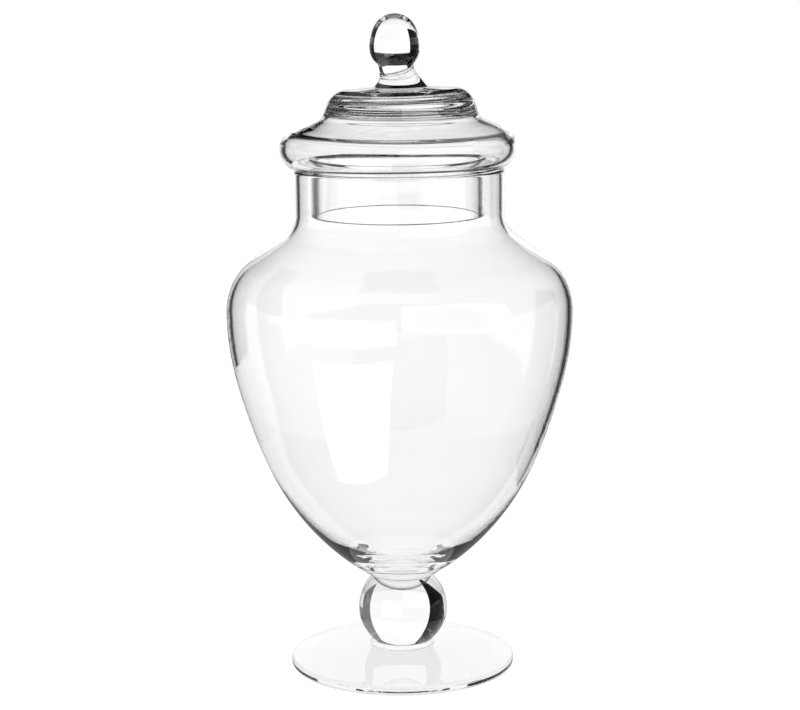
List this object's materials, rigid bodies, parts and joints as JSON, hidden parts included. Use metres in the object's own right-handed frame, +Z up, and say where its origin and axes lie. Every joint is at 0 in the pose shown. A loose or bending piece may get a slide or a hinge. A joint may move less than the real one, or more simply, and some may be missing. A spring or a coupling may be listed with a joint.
{
  "type": "apothecary jar",
  "caption": "Footed clear glass storage jar: round bowl on a ball stem and disc foot, wide neck, and a lift-off lid with an inserted collar and an egg-shaped knob.",
  "frame": {"origin": "centre of the foot's resting face", "axes": "+Z up along the jar's axis of revolution; +X and +Y are equivalent"},
  "size_m": [0.2116, 0.2116, 0.4035],
  "materials": {
    "foot_glass": "clear, fire-polished",
    "stem_glass": "clear, solid",
    "bowl_glass": "clear, blown",
    "lid_glass": "clear, blown",
    "finial_glass": "clear, solid"
  },
  "bodies": {
    "jar": {"foot": "foot_glass", "merese": "stem_glass", "knop": "stem_glass", "bowl": "bowl_glass"},
    "lid": {"lid_cover": "lid_glass", "lid_collar": "lid_glass", "finial_neck": "finial_glass", "finial_knob": "finial_glass"}
  },
  "joints": [
    {"name": "lid_lift", "type": "slide", "parent": "jar", "child": "lid", "axis": [0, 0, 1], "range_m": [0, 0.1]}
  ]
}
